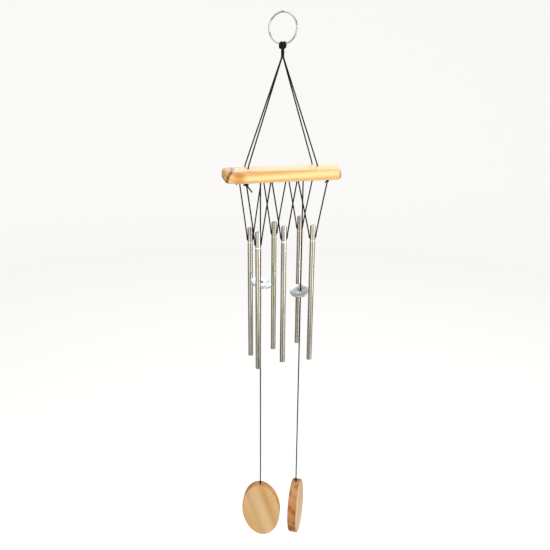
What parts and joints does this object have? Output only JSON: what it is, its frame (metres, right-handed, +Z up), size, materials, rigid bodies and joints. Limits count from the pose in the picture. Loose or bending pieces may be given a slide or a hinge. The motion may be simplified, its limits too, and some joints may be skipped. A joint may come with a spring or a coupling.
{
  "type": "wind chime",
  "caption": "Hanging wind chime: a wooden bar under a split ring carries metal tubes on cord slings, with washer strikers and oval wooden sails on cords between them.",
  "frame": {"origin": "the inside top of the split ring, where a hook carries the chime", "axes": "+Z up, +X along the bar towards its right end, +Y from the front row of tubes to the back row"},
  "size_m": [0.1136, 0.048, 0.5378],
  "materials": {
    "pine": "clear varnished pine",
    "tube_metal": "satin, warm silver",
    "ring_steel": "bright nickel plate",
    "washer_zinc": "bright zinc plate",
    "cord": "black braided cord"
  },
  "bodies": {
    "ring": {"split_ring": "ring_steel"},
    "hitch": {"ring_knot": "cord"},
    "neck": {"hanger_neck": "cord"},
    "bar": {"bar": "pine", "hanger_cord_back_left": "cord", "hanger_knot_back_left": "cord", "hanger_cord_back_right": "cord", "hanger_knot_back_right": "cord", "hanger_cord_front_left": "cord", "hanger_knot_front_left": "cord", "hanger_cord_front_right": "cord", "hanger_knot_front_right": "cord", "cord_plug_back_1": "cord", "cord_plug_back_2": "cord", "cord_plug_back_3": "cord", "cord_plug_back_4": "cord", "cord_plug_front_1": "cord", "cord_plug_front_2": "cord", "cord_plug_front_3": "cord", "cord_plug_front_4": "cord", "cord_plug_striker_left": "cord", "cord_plug_striker_right": "cord"},
    "sling_1": {"tube_cord_1": "cord", "row_knot_back_left": "cord"},
    "tube_1": {"tube_1": "tube_metal"},
    "sling_2": {"tube_cord_2": "cord", "row_knot_front_left": "cord"},
    "tube_2": {"tube_2": "tube_metal"},
    "sling_3": {"tube_cord_3": "cord"},
    "tube_3": {"tube_3": "tube_metal"},
    "sling_4": {"tube_cord_4": "cord"},
    "tube_4": {"tube_4": "tube_metal"},
    "sling_5": {"tube_cord_5": "cord", "row_knot_back_right": "cord"},
    "tube_5": {"tube_5": "tube_metal"},
    "sling_6": {"tube_cord_6": "cord", "row_knot_front_right": "cord"},
    "tube_6": {"tube_6": "tube_metal"},
    "link_left": {"striker_link_left": "cord"},
    "strand_left": {"striker_cord_left": "cord"},
    "striker_knot_left": {"striker_knot_left": "cord"},
    "striker_left": {"striker_left": "washer_zinc"},
    "sail_cord_left": {"sail_cord_left": "cord"},
    "sail_knot_left": {"sail_knot_left": "cord"},
    "sail_left": {"sail_left": "pine"},
    "link_right": {"striker_link_right": "cord"},
    "strand_right": {"striker_cord_right": "cord"},
    "striker_knot_right": {"striker_knot_right": "cord"},
    "striker_right": {"striker_right": "washer_zinc"},
    "sail_cord_right": {"sail_cord_right": "cord"},
    "sail_knot_right": {"sail_knot_right": "cord"},
    "sail_right": {"sail_right": "pine"}
  },
  "joints": [
    {"name": "loop_slide", "type": "hinge", "parent": "ring", "child": "hitch", "pos_m": [0, 0, -0.0118], "axis": [0.5446, 0.8387, 0], "range_deg": [-25, 25]},
    {"name": "hanger_swing", "type": "hinge", "parent": "hitch", "child": "neck", "pos_m": [0, 0, -0.0242], "axis": [0.8387, -0.5446, 0], "range_deg": [-25, 25]},
    {"name": "bar_turn", "type": "hinge", "parent": "neck", "child": "bar", "pos_m": [0, 0, -0.0342], "axis": [0, 0, 1], "range_deg": [-30, 30]},
    {"name": "sling_swing_1", "type": "hinge", "parent": "bar", "child": "sling_1", "pos_m": [-0.02494, 0.0189, -0.13879], "axis": [0.9998, 0, 0.0201], "range_deg": [-3, 20]},
    {"name": "tube_tilt_1", "type": "hinge", "parent": "sling_1", "child": "tube_1", "pos_m": [-0.0255, 0.0189, -0.19905], "axis": [1, 0, 0], "range_deg": [-3, 10]},
    {"name": "sling_swing_2", "type": "hinge", "parent": "bar", "child": "sling_2", "pos_m": [-0.02519, -0.0189, -0.1388], "axis": [0.9998, 0, 0.0201], "range_deg": [-20, 3]},
    {"name": "tube_tilt_2", "type": "hinge", "parent": "sling_2", "child": "tube_2", "pos_m": [-0.0258, -0.0189, -0.19505], "axis": [1, 0, 0], "range_deg": [-10, 3]},
    {"name": "sling_swing_3", "type": "hinge", "parent": "bar", "child": "sling_3", "pos_m": [-0.00119, 0.0189, -0.13832], "axis": [0.9998, 0, 0.0201], "range_deg": [-4.5, 20]},
    {"name": "tube_tilt_3", "type": "hinge", "parent": "sling_3", "child": "tube_3", "pos_m": [-0.0017, 0.0189, -0.19425], "axis": [1, 0, 0], "range_deg": [-3, 10]},
    {"name": "sling_swing_4", "type": "hinge", "parent": "bar", "child": "sling_4", "pos_m": [-0.00174, -0.0189, -0.13833], "axis": [0.9998, 0, 0.0201], "range_deg": [-20, 4.5]},
    {"name": "tube_tilt_4", "type": "hinge", "parent": "sling_4", "child": "tube_4", "pos_m": [-0.0017, -0.0189, -0.19055], "axis": [1, 0, 0], "range_deg": [-10, 3]},
    {"name": "sling_swing_5", "type": "hinge", "parent": "bar", "child": "sling_5", "pos_m": [0.02425, 0.0189, -0.13781], "axis": [0.9998, 0, 0.0201], "range_deg": [-3, 20]},
    {"name": "tube_tilt_5", "type": "hinge", "parent": "sling_5", "child": "tube_5", "pos_m": [0.0242, 0.0189, -0.18985], "axis": [1, 0, 0], "range_deg": [-3, 10]},
    {"name": "sling_swing_6", "type": "hinge", "parent": "bar", "child": "sling_6", "pos_m": [0.0245, -0.0189, -0.1378], "axis": [0.9998, 0, 0.0201], "range_deg": [-20, 3]},
    {"name": "tube_tilt_6", "type": "hinge", "parent": "sling_6", "child": "tube_6", "pos_m": [0.0256, -0.0189, -0.19085], "axis": [1, 0, 0], "range_deg": [-10, 3]},
    {"name": "striker_sway_left", "type": "hinge", "parent": "bar", "child": "link_left", "pos_m": [-0.0194, 0, -0.13868], "axis": [1, 0, 0], "range_deg": [-2.8, 2.8]},
    {"name": "striker_drift_left", "type": "hinge", "parent": "link_left", "child": "strand_left", "pos_m": [-0.0194, 0, -0.14168], "axis": [0, 1, 0], "range_deg": [-1.4, 5]},
    {"name": "washer_spin_left", "type": "hinge", "parent": "strand_left", "child": "striker_knot_left", "pos_m": [-0.0194, 0, -0.239], "axis": [0, 0, 1], "continuous": true},
    {"name": "washer_rock_left", "type": "hinge", "parent": "striker_knot_left", "child": "striker_left", "pos_m": [-0.0194, 0, -0.239], "axis": [0.788, 0.6157, 0], "range_deg": [-41.4, 8.6]},
    {"name": "sail_swing_left", "type": "hinge", "parent": "strand_left", "child": "sail_cord_left", "pos_m": [-0.0194, 0, -0.2425], "axis": [1, 0, 0], "range_deg": [-14, 14]},
    {"name": "sail_turn_left", "type": "hinge", "parent": "sail_cord_left", "child": "sail_knot_left", "pos_m": [-0.0194, 0, -0.4658], "axis": [0, 0, 1], "continuous": true},
    {"name": "sail_rock_left", "type": "hinge", "parent": "sail_knot_left", "child": "sail_left", "pos_m": [-0.0194, 0, -0.4658], "axis": [0.9397, -0.342, 0], "range_deg": [-15, 15]},
    {"name": "striker_sway_right", "type": "hinge", "parent": "bar", "child": "link_right", "pos_m": [0.021, 0, -0.13787], "axis": [1, 0, 0], "range_deg": [-2.8, 2.8]},
    {"name": "striker_drift_right", "type": "hinge", "parent": "link_right", "child": "strand_right", "pos_m": [0.021, 0, -0.14087], "axis": [0, 1, 0], "range_deg": [-5, 1.4]},
    {"name": "washer_spin_right", "type": "hinge", "parent": "strand_right", "child": "striker_knot_right", "pos_m": [0.021, 0, -0.2496], "axis": [0, 0, 1], "continuous": true},
    {"name": "washer_rock_right", "type": "hinge", "parent": "striker_knot_right", "child": "striker_right", "pos_m": [0.021, 0, -0.2496], "axis": [0.766, -0.6428, 0], "range_deg": [-47, 3]},
    {"name": "sail_swing_right", "type": "hinge", "parent": "strand_right", "child": "sail_cord_right", "pos_m": [0.021, 0, -0.2531], "axis": [1, 0, 0], "range_deg": [-14, 14]},
    {"name": "sail_turn_right", "type": "hinge", "parent": "sail_cord_right", "child": "sail_knot_right", "pos_m": [0.021, 0, -0.4702], "axis": [0, 0, 1], "range_deg": [-30, 100]},
    {"name": "sail_rock_right", "type": "hinge", "parent": "sail_knot_right", "child": "sail_right", "pos_m": [0.021, 0, -0.4702], "axis": [0.4848, 0.8746, 0], "range_deg": [-15, 12]}
  ]
}
